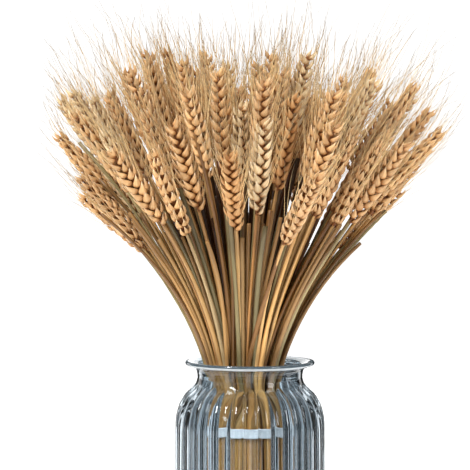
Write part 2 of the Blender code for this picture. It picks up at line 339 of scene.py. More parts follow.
@dataclass
class MeshStock:
    """Collects lofts of one piece, with their finish, tint and grain, and makes one mesh of them."""

    points: list = field(default_factory=list)
    tints: list = field(default_factory=list)
    grains: list = field(default_factory=list)
    loops: list = field(default_factory=list)
    sizes: list = field(default_factory=list)
    finishes: list = field(default_factory=list)
    count: int = 0

    def faces(self, corners: Array, finish: Finish) -> None:
        """Adds faces of equal corner count.

        Args:
            corners: Vertex numbers, one row a face.
            finish: The finish they wear.
        """
        self.loops.append(corners.reshape(-1))
        self.sizes.append(np.full(len(corners), corners.shape[1]))
        self.finishes.append(np.full(len(corners), list(Finish).index(finish)))

    def lofts(self, rings: Array, tips: Array, tints: Array, grains: Array, finish: Finish) -> None:
        """Adds many closed lofts of the same build, each capped at its base and pointed at its tip.

        Args:
            rings: Points by loft, ring and side.
            tips: The end point of each loft.
            tints: Linear colours by loft and ring, the tip's included.
            grains: Length along in metres by loft and ring, the tip's included.
            finish: The finish they wear.
        """
        many, high, sides, _ = rings.shape
        own = high * sides + 1
        points = np.concatenate([rings.reshape(many, high * sides, 3), tips[:, None]], axis=1)
        around = np.tile(np.arange(sides) / sides, (many, high, 1))
        along = np.repeat(grains[:, :high, None], sides, axis=2)
        grain = np.stack([around, along], axis=-1).reshape(many, high * sides, 2)
        tip_grain = np.stack([np.zeros(many), grains[:, -1]], axis=-1)[:, None]
        tint = np.repeat(tints[:, :high, None], sides, axis=2).reshape(many, high * sides, 3)
        start = self.count + np.arange(many)[:, None, None, None] * own
        i = np.arange(sides)
        j = (i + 1) % sides
        low = np.arange(high - 1)[:, None, None] * sides
        ring = np.stack([i, j, j + sides, i + sides], axis=-1)[None]
        self.faces((start + low + ring).reshape(-1, 4), finish)
        last = (high - 1) * sides
        first = start[:, 0, 0]
        fan = np.stack([last + i, last + j, np.full(sides, own - 1)], axis=-1)
        self.faces((first[:, :, None] + fan).reshape(-1, 3), finish)
        self.faces(first + i[::-1], finish)
        self.points.append(points.reshape(-1, 3))
        self.tints.append(np.concatenate([tint, tints[:, -1:]], axis=1).reshape(-1, 3))
        self.grains.append(np.concatenate([grain, tip_grain], axis=1).reshape(-1, 2))
        self.count += many * own

    def rod(
        self, spine: Array, wide: Array, deep: Array, tint: Array, finish: Finish, sides: int = 8
    ) -> None:
        """Adds one rod or blade along a spine.

        Args:
            spine: Its middle points.
            wide: Half its width, as a vector at each point.
            deep: Half its thickness, as a vector at each point.
            tint: A linear colour at each point.
            finish: The finish it wears.
            sides: How many sides it has.
        """
        turn = np.arange(sides) / sides * 2 * math.pi
        ring = np.cos(turn)[None, :, None] * wide[:, None] + np.sin(turn)[None, :, None] * deep[:, None]
        steps = np.linalg.norm(np.diff(spine, axis=0), axis=1)
        along = np.concatenate([[0], np.cumsum(steps)])
        self.lofts((spine[:, None] + ring)[None, :-1], spine[None, -1], tint[None], along[None], finish)

    def piece(self, name: str, materials: list[bpy.types.Material]) -> bpy.types.Object:
        """Makes the mesh, with its tint attribute and its grain map, as a piece that rides on the body.

        Args:
            name: The piece's name.
            materials: Its material slots, in the order of Finish.

        Returns:
            The piece.
        """
        points = np.concatenate(self.points).astype(np.float32)
        loops = np.concatenate(self.loops).astype(np.int32)
        sizes = np.concatenate(self.sizes).astype(np.int32)
        tints = np.concatenate(self.tints).astype(np.float32)
        grains = np.concatenate(self.grains).astype(np.float32)
        made = bpy.data.meshes.new(name)
        made.vertices.add(len(points))
        made.vertices.foreach_set("co", points.ravel())
        made.loops.add(len(loops))
        made.loops.foreach_set("vertex_index", loops)
        made.polygons.add(len(sizes))
        starts = np.concatenate([[0], np.cumsum(sizes)[:-1]]).astype(np.int32)
        made.polygons.foreach_set("loop_start", starts)
        made.polygons.foreach_set("loop_total", sizes)
        made.polygons.foreach_set("material_index", np.concatenate(self.finishes).astype(np.int32))
        made.update(calc_edges=True)
        solid = np.ones((len(tints), 1), np.float32)
        color = made.attributes.new("tint", "FLOAT_COLOR", "POINT")
        color.data.foreach_set("color", np.concatenate([tints, solid], axis=1).ravel())
        grain = made.uv_layers.new(name="grain")
        grain.data.foreach_set("uv", grains[loops].ravel())
        for material in materials:
            made.materials.append(material)
        made.shade_smooth()
        made.validate()
        piece = placed(name, made)
        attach(piece, BODY)
        return piece


@dataclass(frozen=True)
class Planting:
    """Where the stalks stand and how they fan out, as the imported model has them."""

    seed: int = 9
    # Which draw each pair took, the first that leaves it clear of the pairs before it
    draws: tuple[int, ...] = (
        0, 0, 0, 0, 0, 1, 0, 0, 0, 1, 8, 0, 2, 0, 0, 1, 0, 1, 0, 0, 0, 2, 0, 3, 0, 1, 0, 0, 0, 0, 0, 0,
        0, 0, 0, 0, 0, 1, 0, 1, 0, 0, 1, 0, 0,
    )
    golden_angle: float = math.pi * (3 - math.sqrt(5))
    foot_z: float = 8.6 * MM
    bundle_radius: float = 20.5 * MM
    twin_turn: float = math.radians(93)
    twin_foot: float = 0.8 * MM
    twin_tie: float = 1.1 * MM
    twin_spread: float = 0.065
    place_jitter: float = 0.035
    depth_squeeze: float = 0.8
    fan_lean: float = math.radians(38)
    droop: tuple[float, float] = (0, math.radians(22))
    straight_end: float = 65 * MM
    fan_end: float = 268 * MM
    droop_low: float = 150 * MM
    droop_high: float = 20 * MM
    left_shift: float = 5 * MM
    left_shift_low: float = 110 * MM
    left_shift_high: float = 160 * MM
    inner_length: float = 418 * MM
    outer_shorter: float = 56 * MM
    outer_power: int = 6
    outer_spared_in_front: float = 0.5
    front_shorter: float = 26 * MM
    front_evener: float = 0.6
    length_jitter: tuple[float, float] = (-40 * MM, 14 * MM)
    path_step: float = 5 * MM
    tied_end: float = 110 * MM
    ear_length: float = 78 * MM
    ear_spin: float = math.radians(50)
    sway_from: float = 0.3

    def draw_of(self, pair: int, side: int) -> random.Random:
        """The random numbers of one packed stalk."""
        return random.Random(self.seed * 100000 + self.draws[pair] * 1000 + pair * 2 + (side > 0))


PLANTING = Planting()


class Stalk:
    """The centreline of one straw and its ear, from the cut foot to the ear's tip."""

    def __init__(self, spot: float, side: int, draw: random.Random) -> None:
        """Draws the stalk's place and bend.

        Args:
            spot: The number of its pair, from 0, or a number between two pairs.
            side: -1 or 1, which of the pair it is, or 0 for a straw on its own.
            draw: Its random numbers.
        """
        plan = PLANTING
        turn = spot * plan.golden_angle
        twin = np.array([math.cos(turn + plan.twin_turn), math.sin(turn + plan.twin_turn)]) * side
        bundle = np.array([math.cos(turn), math.sin(turn)]) * math.sqrt((spot + 0.5) / len(plan.draws))
        fan = bundle + twin * plan.twin_spread
        fan[0] += draw.uniform(-plan.place_jitter, plan.place_jitter)
        fan[1] += draw.uniform(-plan.place_jitter, plan.place_jitter)
        self.reach = float(np.hypot(*fan))
        front = max(0.0, -fan[1])
        outer = min(self.reach, 1) ** plan.outer_power * (1 - plan.outer_spared_in_front * front)
        jitter = draw.uniform(*plan.length_jitter) * (1 - plan.front_evener * front)
        self.length = plan.inner_length - plan.outer_shorter * outer - plan.front_shorter * front + jitter
        self.droop = draw.uniform(*plan.droop) * self.reach
        self.away = fan / self.reach
        self.ear_start = self.length - plan.ear_length
        foot = np.array([*(bundle * plan.bundle_radius + twin * plan.twin_foot), plan.foot_z])
        drift = np.array([*(twin * (plan.twin_tie - plan.twin_foot) / plan.straight_end), 0])
        self.points = self.walk(foot, drift)
        spin = draw.uniform(-plan.ear_spin, plan.ear_spin)
        around = np.array([-self.away[1], self.away[0]])
        self.wide_hint = np.array([*(around * math.cos(spin) + self.away * math.sin(spin)), 0])
        self.ways = unit(np.gradient(self.points, axis=0))

    def walk(self, foot: Array, drift: Array) -> Array:
        """Points a step apart along the centreline, which leans out more and more above the band.

        The whole bundle also leans a little to the left as it passes through the vase's neck.

        Args:
            foot: Where the straw stands.
            drift: How the two straws of a pair draw apart on their way up to the band.

        Returns:
            The points, from the foot up.
        """
        plan = PLANTING
        count = round(self.length / plan.path_step)
        self.step = self.length / count
        points = [foot]
        for k in range(count):
            along = (k + 0.5) * self.step
            rise = (along - plan.straight_end) / (plan.fan_end - plan.straight_end)
            late = (along - self.length + plan.droop_low) / (plan.droop_low - plan.droop_high)
            lean = self.reach * plan.fan_lean * smooth(rise) + self.droop * smooth(late)
            out = self.away * math.sin(lean)
            heading = np.array([out[0], out[1] * plan.depth_squeeze, math.cos(lean)])
            if along < plan.straight_end:
                heading = heading + drift
            points.append(points[-1] + unit(heading) * self.step)
        points = np.array(points)
        above = np.arange(count + 1) * self.step - plan.left_shift_low
        points[:, 0] -= plan.left_shift * smooth(above / (plan.left_shift_high - plan.left_shift_low))
        return points

    def sway(self, aside: float) -> None:
        """Bends the stalk sideways round the bundle, so that it crosses its neighbours.

        Args:
            aside: How far its tip moves, in metres.
        """
        around = np.array([-self.away[1], self.away[0], 0.0])
        rise = np.linspace(0, 1, len(self.points))
        start = PLANTING.sway_from
        self.points = self.points + around * aside * smooth((rise - start) / (1 - start))[:, None]
        self.ways = unit(np.gradient(self.points, axis=0))

    def frames(self, along: Array) -> tuple[Array, Array, Array, Array]:
        """Points and directions at these lengths.

        Args:
            along: Lengths from the foot, in metres.

        Returns:
            The points, the headings, the ear's wide way and its deep way.
        """
        at = np.clip(along / self.step, 0, len(self.points) - 1.001)
        low = at.astype(int)
        part = (at - low)[:, None]
        points = self.points[low] * (1 - part) + self.points[low + 1] * part
        past = np.maximum(along - self.length, 0)[:, None]
        heading = unit(self.ways[low] * (1 - part) + self.ways[low + 1] * part)
        deep = unit(np.cross(heading, self.wide_hint))
        return points + heading * past, heading, np.cross(deep, heading), deep


@dataclass(frozen=True)
class HuskShape:
    """The outline of one husk, as shares of its length, half width and half depth, and its colours."""

    at: tuple[float, ...] = (0.0, 0.07, 0.20, 0.38, 0.59, 0.79)
    width: tuple[float, ...] = (0.40, 0.78, 1.0, 0.93, 0.60, 0.25)
    depth: tuple[float, ...] = (0.3, 0.72, 1.0, 0.96, 0.66, 0.32)
    sides: int = 8
    keel: float = 0.16
    flat_back: float = 0.55
    bow: float = 0.10
    # The colours from the root up, and where each is whole: two of the root, a painted shade for the
    # crevices between husks and the root's own brown, then the ear's own
    crevice_shade_and_root_tone: tuple[str, str] = ("#52270A", "#B07434")
    tone_stops: tuple[float, ...] = (0.0, 0.15, 0.36, 0.66, 1.0)
    brightness: tuple[float, float] = (0.84, 1.10)

    def local(self) -> tuple[Array, Array]:
        """The husk one unit long and one unit to each side.

        Returns:
            The ring points by ring and side as width, depth and length, and the tip.
        """
        turn = np.arange(self.sides) / self.sides * 2 * math.pi
        across, out = np.cos(turn + math.pi / 2), np.sin(turn + math.pi / 2)
        out = np.where(out == out.max(), out * (1 + self.keel), out)
        out = np.where(out < 0, out * self.flat_back, out)
        at = np.array(self.at)
        rings = np.empty((len(at), self.sides, 3))
        rings[..., 0] = across * np.array(self.width)[:, None]
        rings[..., 1] = out * np.array(self.depth)[:, None]
        rings[..., 2] = at[:, None]
        return rings, np.array([0.0, 0.0, 1.0])


@dataclass(frozen=True)
class HuskSeat:
    """Where one husk of a spikelet sits, how it leans and how often it keeps its awn.

    It sits out to its side of the ear, in front of the ear's middle and up from its spikelet's root.
    """

    out_mm: float
    front_mm: float
    up_mm: float
    lean_side: float
    lean_front: float
    size: float
    awned: float


@dataclass(frozen=True)
class AwnShape:
    """How awns grow: their size, their bends, and their colours from root to tip."""

    radius: float = 0.225 * MM
    taper: float = 0.45
    beside_ear: float = 0.9
    past_tip: tuple[float, float] = (12 * MM, 88 * MM)
    mostly_short: float = 2.8
    outer_shorter: float = 0.4
    # How much the start and the end follow the husk and the ear, and how much the end turns up
    start_husk: float = 0.7
    start_ear: float = 0.5
    end_husk: float = 0.35
    end_ear: float = 1.2
    lift: float = 0.4
    stray: float = 0.06
    stray_grows: float = 1.6
    end_stray: float = 0.09
    curl: float = 0.12
    points: int = 7
    sides: int = 3
    root_tone: str = "#F4CE92"
    tip_tone: str = "#4E4B46"
    aging: float = 1.8
    brightness: tuple[float, float] = (0.8, 1.12)


@dataclass(frozen=True)
class EarTone:
    """The colours of one ear's husks, from their middle to their tips, and the share of such ears."""

    middle: str
    tip: str
    share: float


class Tone(Enum):
    """How an ear has dried."""

    GOLD = EarTone("#DFB27A", "#F5E0BA", 0.44)
    CREAM = EarTone("#E8CEA0", "#F8ECD0", 0.18)
    TAN = EarTone("#DBB07C", "#F2DAB0", 0.20)
    AMBER = EarTone("#D3A066", "#EED09A", 0.18)


@dataclass(frozen=True)
class StrawMaker:
    """Lays round straws, with the colours that dried straw takes.

    A straw is slim where it is tied, thicker in its leaf sheath, and slimmer again above the joint.
    """

    tied_radius: float = 1.5 * MM
    sheath_radius: float = 1.98 * MM
    top_radius: float = 1.15 * MM
    sheath_swell: float = 45 * MM
    sheath_taper: float = 0.96
    joint_at: tuple[float, float] = (0.55, 0.8)
    joint_height: float = 4 * MM
    above_joint: float = 0.78
    girth: tuple[float, float] = (0.74, 1.14)
    flatness: tuple[float, float] = (1.0, 1.28)
    blunt_end: float = 0.4 * MM
    rings: int = 26
    tones: tuple[str, ...] = (
        "#DBAE6E", "#D5A564", "#CB9C5C", "#BF9054", "#AE7C42", "#B3A06E", "#CDA56A", "#DBBB84",
    )
    foot_tone: str = "#E2AC60"
    foot_tone_end: float = 90 * MM
    foot_tone_fade: float = 70 * MM
    brightness: tuple[float, float] = (0.58, 1.24)
    patch_depth: float = 0.10
    patch_mm: tuple[float, float] = (14, 30)

    def lay(
        self, stock: MeshStock, stalk: Stalk, top: float, draw: np.random.Generator, dark: float
    ) -> None:
        """Lays one straw from its cut foot up.

        Args:
            stock: Where it goes.
            stalk: Its centreline.
            top: How far up it goes, in metres.
            draw: Its random numbers.
            dark: A factor on its colour, below 1 where it paints shade on straws inside the bundle.
        """
        along = np.append(np.linspace(0, top - self.blunt_end, self.rings), top)
        points, _, wide, deep = stalk.frames(along)
        girth = draw.uniform(*self.girth)
        joint = draw.uniform(*self.joint_at) * top
        tied, sheath = PLANTING.tied_end, self.sheath_radius * girth
        at = [0, tied, tied + self.sheath_swell, joint, joint + self.joint_height, top]
        thick = [self.tied_radius, self.tied_radius, sheath, sheath * self.sheath_taper]
        thick += [sheath * self.above_joint, self.top_radius]
        radius = np.interp(along, at, thick)[:, None]
        flat = draw.uniform(*self.flatness)
        high = shades(self.tones[draw.integers(len(self.tones))])[0]
        low = shades(self.foot_tone)[0]
        mix = np.clip((along - self.foot_tone_end) / self.foot_tone_fade, 0, 1)[:, None]
        wave = np.sin(along / (draw.uniform(*self.patch_mm) * MM) + draw.uniform(0, 6))
        patch = 1 + self.patch_depth * wave[:, None]
        tint = (low * (1 - mix) + high * mix) * draw.uniform(*self.brightness) * dark * patch
        stock.rod(points, wide * radius * flat, deep * radius / flat**0.5, tint, Finish.STRAW)


@dataclass
class WheatPair:
    """Two neighbouring stalks as one piece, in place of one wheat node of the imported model."""

    number: int
    straw: StrawMaker = StrawMaker()
    husk: HuskShape = HuskShape()
    awn: AwnShape = AwnShape()
    spikelets: int = 19
    seats: tuple[HuskSeat, ...] = (
        HuskSeat(0.7, 1.75, 0.0, 0.46, 0.17, 1.0, 0.54),
        HuskSeat(0.7, -1.75, 0.0, 0.46, -0.17, 1.0, 0.54),
        HuskSeat(2.3, 0.0, 1.2, 0.58, 0.0, 0.95, 0.32),
    )
    husk_length: float = 12.4 * MM
    husk_half_width: float = 3.2 * MM
    husk_half_depth: float = 2.25 * MM
    husk_sizes: tuple[float, float] = (0.88, 1.12)
    husk_stray: float = 0.08
    awn_root: float = 0.96
    # How much of the ear the spikelets take, and how far below its start the first one roots
    seats_span: float = 0.93
    seats_below: float = 0.01
    # How plump the ear is at its foot, how much it swells by where, and how much it thins from where
    foot_plump: float = 0.66
    swell: float = 0.34
    swell_end: float = 0.25
    tip_thinner: float = 0.36
    thinner_from: float = 0.5
    # How much the outer husks face to their side, and how much to the front or back
    keel_side: float = 0.35
    keel_front: float = 0.95
    core_mm: tuple[float, ...] = (1.2, 2.6, 2.2, 0.8)
    core_stops: tuple[float, ...] = (0, 0.2, 0.7, 1)
    core_rings: int = 12
    core_tone: str = "#8C5526"
    core_below_tip: float = 4 * MM
    straw_into_ear: float = 6 * MM
    seed: int = 7000

    def build(self, materials: list[bpy.types.Material]) -> bpy.types.Object:
        """Builds the piece in the row frame.

        Args:
            materials: The finishes in their order.

        Returns:
            The piece.
        """
        stock = MeshStock()
        for side in (-1, 1):
            stalk = Stalk(self.number, side, PLANTING.draw_of(self.number, side))
            draw = np.random.default_rng(self.seed + self.number * 2 + (side > 0))
            self.straw.lay(stock, stalk, stalk.ear_start + self.straw_into_ear, draw, 1.0)
            self.add_ear(stock, stalk, draw)
        piece = stock.piece(f"wheat_pair_{self.number + 1:02d}", materials)
        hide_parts(f"wheat_{self.number + 1:02d}")
        return piece

    def add_ear(self, stock: MeshStock, stalk: Stalk, draw: np.random.Generator) -> None:
        """Adds the ear: three husks a spikelet, an awn on about half of them, and the core between.

        Args:
            stock: Where it goes.
            stalk: Its stalk.
            draw: The stalk's random numbers.
        """
        count = self.spikelets
        k = np.arange(count)
        share = (k + 0.5) / count
        side = np.where(k % 2 == 0, 1.0, -1.0)
        swell = self.swell * smooth(share / self.swell_end)
        thinner = self.tip_thinner * smooth((share - self.thinner_from) / (1 - self.thinner_from))
        plump = self.foot_plump + swell - thinner
        along = stalk.ear_start + PLANTING.ear_length * (share * self.seats_span - self.seats_below)
        points, heading, wide, deep = stalk.frames(along)
        tone = list(Tone)[draw.choice(len(Tone), p=[tone.value.share for tone in Tone])].value
        for seat in self.seats:
            big = (plump * seat.size * draw.uniform(*self.husk_sizes, count))[:, None]
            off = wide * side[:, None] * seat.out_mm + deep * seat.front_mm
            spot = points + off * MM * plump[:, None] + heading * seat.up_mm * MM
            lean_side = seat.lean_side + draw.normal(0, self.husk_stray, count)
            lean_front = seat.lean_front + draw.normal(0, self.husk_stray, count)
            axis = unit(heading + wide * (side * lean_side)[:, None] + deep * lean_front[:, None])
            # The middle husk's keel faces straight to its side, the others' mostly to the front or back
            facing = side * (self.keel_side if seat.front_mm else 1.0)
            outward = wide * facing[:, None] + deep * np.sign(seat.front_mm) * self.keel_front
            outward = unit(outward - axis * np.sum(outward * axis, axis=-1, keepdims=True))
            self.add_husks(stock, spot, axis, outward, big[:, 0], draw, tone)
            tips = spot + axis * (self.husk_length * self.awn_root) * big
            keep = draw.random(count) < seat.awned
            self.add_awns(stock, stalk, tips[keep], axis[keep], heading[keep], share[keep], draw)
        core = np.linspace(stalk.ear_start, stalk.length - self.core_below_tip, self.core_rings)
        spine, _, wide, deep = stalk.frames(core)
        rise = np.linspace(0, 1, self.core_rings)
        slim = np.interp(rise, self.core_stops, self.core_mm)[:, None] * MM
        tint = np.tile(shades(self.core_tone), (self.core_rings, 1))
        stock.rod(spine, wide * slim, deep * slim, tint, Finish.HUSK, 6)

    def add_husks(
        self,
        stock: MeshStock,
        spot: Array,
        axis: Array,
        outward: Array,
        big: Array,
        draw: np.random.Generator,
        tone: EarTone,
    ) -> None:
        """Adds one husk for each spot.

        Args:
            stock: Where they go.
            spot: Their bases.
            axis: Their long ways.
            outward: Their keeled ways.
            big: Their sizes.
            draw: The stalk's random numbers.
            tone: The ear's colours.
        """
        rings, tip = self.husk.local()
        thick = [big * self.husk_half_width, big * self.husk_half_depth]
        size = np.stack([*thick, np.sqrt(big) * self.husk_length], -1)
        ways = np.stack([np.cross(outward, axis), outward, axis], axis=1) * size[..., None]
        bow = np.sin(np.array(self.husk.at) * math.pi) * self.husk.bow
        made = np.einsum("rsi,kij->krsj", rings, ways)
        made += spot[:, None, None] + outward[:, None, None] * (bow[None, :, None, None] * self.husk_length)
        tips = spot + np.einsum("i,kij->kj", tip, ways)
        at = np.array([*self.husk.at, 1.0])
        # The ramp starts with painted shade at the husk's root, then the root's own browner tone
        ramp = shades(*self.husk.crevice_shade_and_root_tone, tone.middle, tone.middle, tone.tip)
        color = np.stack([np.interp(at, self.husk.tone_stops, ramp[:, c]) for c in range(3)], axis=-1)
        color = color[None] * draw.uniform(*self.husk.brightness, (len(spot), 1, 1))
        grain = at[None] * self.husk_length + draw.uniform(0, 3, (len(spot), 1))
        stock.lofts(made, tips, color, grain, Finish.HUSK)

    def add_awns(
        self,
        stock: MeshStock,
        stalk: Stalk,
        roots: Array,
        axis: Array,
        heading: Array,
        share: Array,
        draw: np.random.Generator,
    ) -> None:
        """Adds one fine awn for each root, which leaves along its husk and then turns up along the ear.

        Args:
            stock: Where they go.
            stalk: The ear's stalk.
            roots: Where they start.
            axis: The long ways of their husks.
            heading: The ear's way at their roots.
            share: How far up the ear they sit.
            draw: The stalk's random numbers.
        """
        awn = self.awn
        many = len(roots)
        near, far = awn.past_tip
        past = near + (far - near) * draw.random(many) ** awn.mostly_short
        past = past * (1 - awn.outer_shorter * stalk.reach)
        length = PLANTING.ear_length * (1 - share) * awn.beside_ear + past
        stray = draw.normal(0, awn.stray, (many, 3))
        start = unit(axis * awn.start_husk + heading * awn.start_ear + stray)
        up = np.array([0.0, 0.0, awn.lift])
        end = heading * awn.end_ear + axis * awn.end_husk + up + stray * awn.stray_grows
        end = unit(end + draw.normal(0, awn.end_stray, (many, 3)))
        steps = np.linspace(0, 1, awn.points)
        curl = draw.normal(0, awn.curl, (many, 3))
        late = steps**2 / 2
        bend = start[:, None] * (steps - late)[None, :, None] + end[:, None] * late[None, :, None]
        bend = bend + curl[:, None] * (steps**3)[None, :, None]
        # An awn that would leave the solids' box is drawn shorter
        reach = bend[:, -1] * length[:, None]
        room = np.where(reach > 0, np.array(CAD_BOX[1]) - MM - roots, np.array(CAD_BOX[0]) + MM - roots)
        fit = np.min(np.clip(room / np.where(np.abs(reach) < 1e-9, 1e-9, reach), 0.05, 1), axis=-1)
        spine = roots[:, None] + bend * (length * fit)[:, None, None]
        # Any way across the awn will do, as long as it isn't along it
        aside = unit(np.cross(start, end + stray[:, ::-1] + 0.013))
        other = unit(np.cross(start, aside))
        turn = np.arange(awn.sides) / awn.sides * 2 * math.pi
        ring = np.cos(turn)[None, :, None] * aside[:, None] + np.sin(turn)[None, :, None] * other[:, None]
        radius = awn.radius * (1 - awn.taper * steps[:-1])
        rings = spine[:, :-1, None] + ring[:, None] * radius[None, :, None, None]
        low, high = shades(awn.root_tone, awn.tip_tone)
        aged = steps[:, None] ** awn.aging
        tint = low * (1 - aged) + high * aged
        tint = tint[None] * draw.uniform(*awn.brightness, (many, 1, 1))
        stock.lofts(rings, spine[:, -1], tint, steps[None] * length[:, None], Finish.AWN)


@dataclass
class BareStraws:
    """Straws that lost their ear, which fill the bundle between the stalks and end among the ears."""

    # The inner straws' dark browns are painted shade between the stalks deep in the bundle
    inner_straw: StrawMaker = StrawMaker(
        sheath_radius=2.2 * MM, top_radius=1.7 * MM, tones=("#784210", "#864C1A", "#66380C", "#86602A")
    )
    outer_straw: StrawMaker = StrawMaker(
        sheath_radius=1.9 * MM,
        top_radius=1.5 * MM,
        tones=("#BF9052", "#AC7C44", "#A39262", "#CB9E5E", "#946836", "#B68A52"),
    )
    inner_shares: tuple[float, ...] = (0.16, 0.33, 0.5, 0.67, 0.84)
    outer_shares: tuple[float, ...] = (0.2, 0.4, 0.6, 0.8)
    outer_from: int = 20
    # Factors on the bare straws' colours: painted shade, strong for the inner straws and slight for the
    # outer ones
    inner_painted_shade: float = 0.45
    outer_painted_shade: float = 0.80
    inner_top: tuple[float, float] = (280 * MM, 332 * MM)
    outer_top: tuple[float, float] = (268 * MM, 315 * MM)
    tall_top: tuple[float, float] = (320 * MM, 372 * MM)
    tall_share: float = 0.2
    sway: float = 16 * MM
    edge_from: int = 33
    # Only straws in front or behind cross far over, so that none leaves the fan's outline
    crossing_facing: float = 0.7
    crossing_share: float = 0.55
    crossing_sway: tuple[float, float] = (28 * MM, 52 * MM)
    seed: int = 9000
    seeds_a_pair: int = 6

    def build(self, materials: list[bpy.types.Material]) -> bpy.types.Object:
        """Builds them as one piece.

        Args:
            materials: The finishes in their order.

        Returns:
            The piece.
        """
        stock = MeshStock()
        for pair in range(len(PLANTING.draws)):
            for share in self.inner_shares if pair < self.outer_from else self.outer_shares:
                number = self.seed + pair * self.seeds_a_pair + round(share * self.seeds_a_pair)
                draw = np.random.default_rng(number)
                stalk = Stalk(pair + share, 0, random.Random(number))
                aside = draw.uniform(-self.sway, self.sway)
                edge = pair >= self.edge_from
                facing = abs(stalk.away[1]) > self.crossing_facing
                if edge and facing and draw.random() < self.crossing_share:
                    aside = math.copysign(draw.uniform(*self.crossing_sway), aside)
                elif edge:
                    aside = 0.0
                stalk.sway(aside)
                if pair < self.outer_from:
                    self.inner_straw.lay(stock, stalk, draw.uniform(*self.inner_top), draw, self.inner_painted_shade)
                else:
                    tall = pair < self.edge_from and draw.random() < self.tall_share
                    top = draw.uniform(*(self.tall_top if tall else self.outer_top))
                    self.outer_straw.lay(stock, stalk, top, draw, self.outer_painted_shade)
        return stock.piece("bare_straws", materials)


@dataclass(frozen=True)
class LeafKind:
    """One kind of dried leaf, with the least and most of each measure in millimetres.

    They are the height of its root along the stalk, its length, half its width and how far its tip
    stands off the stalk. Its curl is how far its end turns back, in radians.
    """

    count: int
    root_mm: tuple[float, float]
    length_mm: tuple[float, float]
    half_width_mm: tuple[float, float]
    away_mm: tuple[float, float]
    curl: float


@dataclass
class DriedLeaves:
    """Leaf blades that dried on the straws: long ones that hug them, and short scraps that curl away."""

    blade: LeafKind = LeafKind(34, (105, 175), (80, 150), (2.0, 3.6), (0, 4), 0.25)
    scrap: LeafKind = LeafKind(14, (175, 250), (10, 22), (0.7, 1.5), (2, 6), 5.0)
    thickness: float = 0.28 * MM
    off_stalk: float = 1.8 * MM
    twist: float = 1.5
    width_stops: tuple[float, ...] = (0, 0.15, 0.6, 1)
    width_shares: tuple[float, ...] = (0.55, 1, 0.8, 0.08)
    brightness: tuple[float, float] = (0.75, 1.1)
    rings: int = 16
    # Only pairs well inside the bundle have leaves, so that none spoils the fan's edge
    inner_pairs: tuple[int, int] = (2, 19)
    tones: tuple[str, ...] = ("#B79A66", "#9C8455", "#A2703F", "#C9AE7C", "#8C8260")
    seed: int = 9500

    def build(self, materials: list[bpy.types.Material]) -> bpy.types.Object:
        """Builds them as one piece.

        Args:
            materials: The finishes in their order.

        Returns:
            The piece.
        """
        stock = MeshStock()
        for k, kind in enumerate([self.blade] * self.blade.count + [self.scrap] * self.scrap.count):
            draw = np.random.default_rng(self.seed + k)
            pair = int(draw.integers(*self.inner_pairs))
            side = int(draw.choice((-1, 1)))
            stalk = Stalk(pair, side, PLANTING.draw_of(pair, side))
            self.add_leaf(stock, stalk, draw, kind)
        return stock.piece("dried_leaves", materials)

    def add_leaf(self, stock: MeshStock, stalk: Stalk, draw: np.random.Generator, kind: LeafKind) -> None:
        """Adds one leaf.

        Args:
            stock: Where it goes.
            stalk: The stalk it grew on.
            draw: Its random numbers.
            kind: Its measures.
        """
        t = np.linspace(0, 1, self.rings)
        root = draw.uniform(*kind.root_mm) * MM
        length = draw.uniform(*kind.length_mm) * MM
        points, heading, wide, deep = stalk.frames(root + t * length)
        turn = draw.uniform(0, 2 * math.pi)
        off = wide * math.cos(turn) + deep * math.sin(turn)
        bend = kind.curl * t**2
        away = draw.uniform(*kind.away_mm) * MM
        spine = points + off * (self.off_stalk + away * t**2)[:, None]
        step = length / (len(t) - 1)
        back = np.cumsum(np.sin(bend) * step)[:, None] * 0.5
        drop = np.cumsum((1 - np.cos(bend)) * step)[:, None] * 0.6
        spine = spine + off * back - heading * drop
        along = unit(np.gradient(spine, axis=0))
        across = unit(np.cross(along, off))
        out = np.cross(across, along)
        twist = (draw.uniform(-self.twist, self.twist) * t)[:, None]
        flat = across * np.cos(twist) + out * np.sin(twist)
        thin = out * np.cos(twist) - across * np.sin(twist)
        shape = np.interp(t, self.width_stops, self.width_shares)[:, None]
        half = draw.uniform(*kind.half_width_mm) * MM
        tint = shades(self.tones[draw.integers(len(self.tones))]) * draw.uniform(*self.brightness)
        tint = np.tile(tint, (self.rings, 1))
        stock.rod(spine, flat * half * shape, thin * self.thickness, tint, Finish.LEAF, 6)


def turned_mesh(name: str, radii: Array, heights: Array, floor_top: float | None) -> bpy.types.Mesh:
    """Makes a mesh from rings of points round Z.

    Args:
        name: Its name.
        radii: Radius in millimetres by ring and column.
        heights: The height of each ring in millimetres.
        floor_top: The height where the first ring closes over the axis, or None for a closed hoop.

    Returns:
        The mesh.
    """
    rows, columns = radii.shape
    turn = np.arange(columns) / columns * 2 * math.pi
    z = np.repeat(heights[:, None], columns, axis=1)
    verts = np.stack([radii * np.cos(turn), radii * np.sin(turn), z], axis=-1).reshape(-1, 3) * MM
    i = np.arange(columns)
    j = (i + 1) % columns
    faces = []
    for row in range(rows if floor_top is None else rows - 1):
        a, b = row * columns, (row + 1) % rows * columns
        faces += np.stack([a + i, b + i, b + j, a + j], axis=-1).tolist()
    if floor_top is not None:
        last, top, bottom = (rows - 1) * columns, len(verts), len(verts) + 1
        verts = np.concatenate([verts, [[0, 0, floor_top * MM], [0, 0, heights[-1] * MM]]])
        faces += [[top, int(a), int(b)] for a, b in zip(i, j)]
        faces += [[bottom, int(last + b), int(last + a)] for a, b in zip(i, j)]
    mesh = bpy.data.meshes.new(name)
    mesh.from_pydata(verts.tolist(), [], faces)
    mesh.shade_smooth()
    return mesh


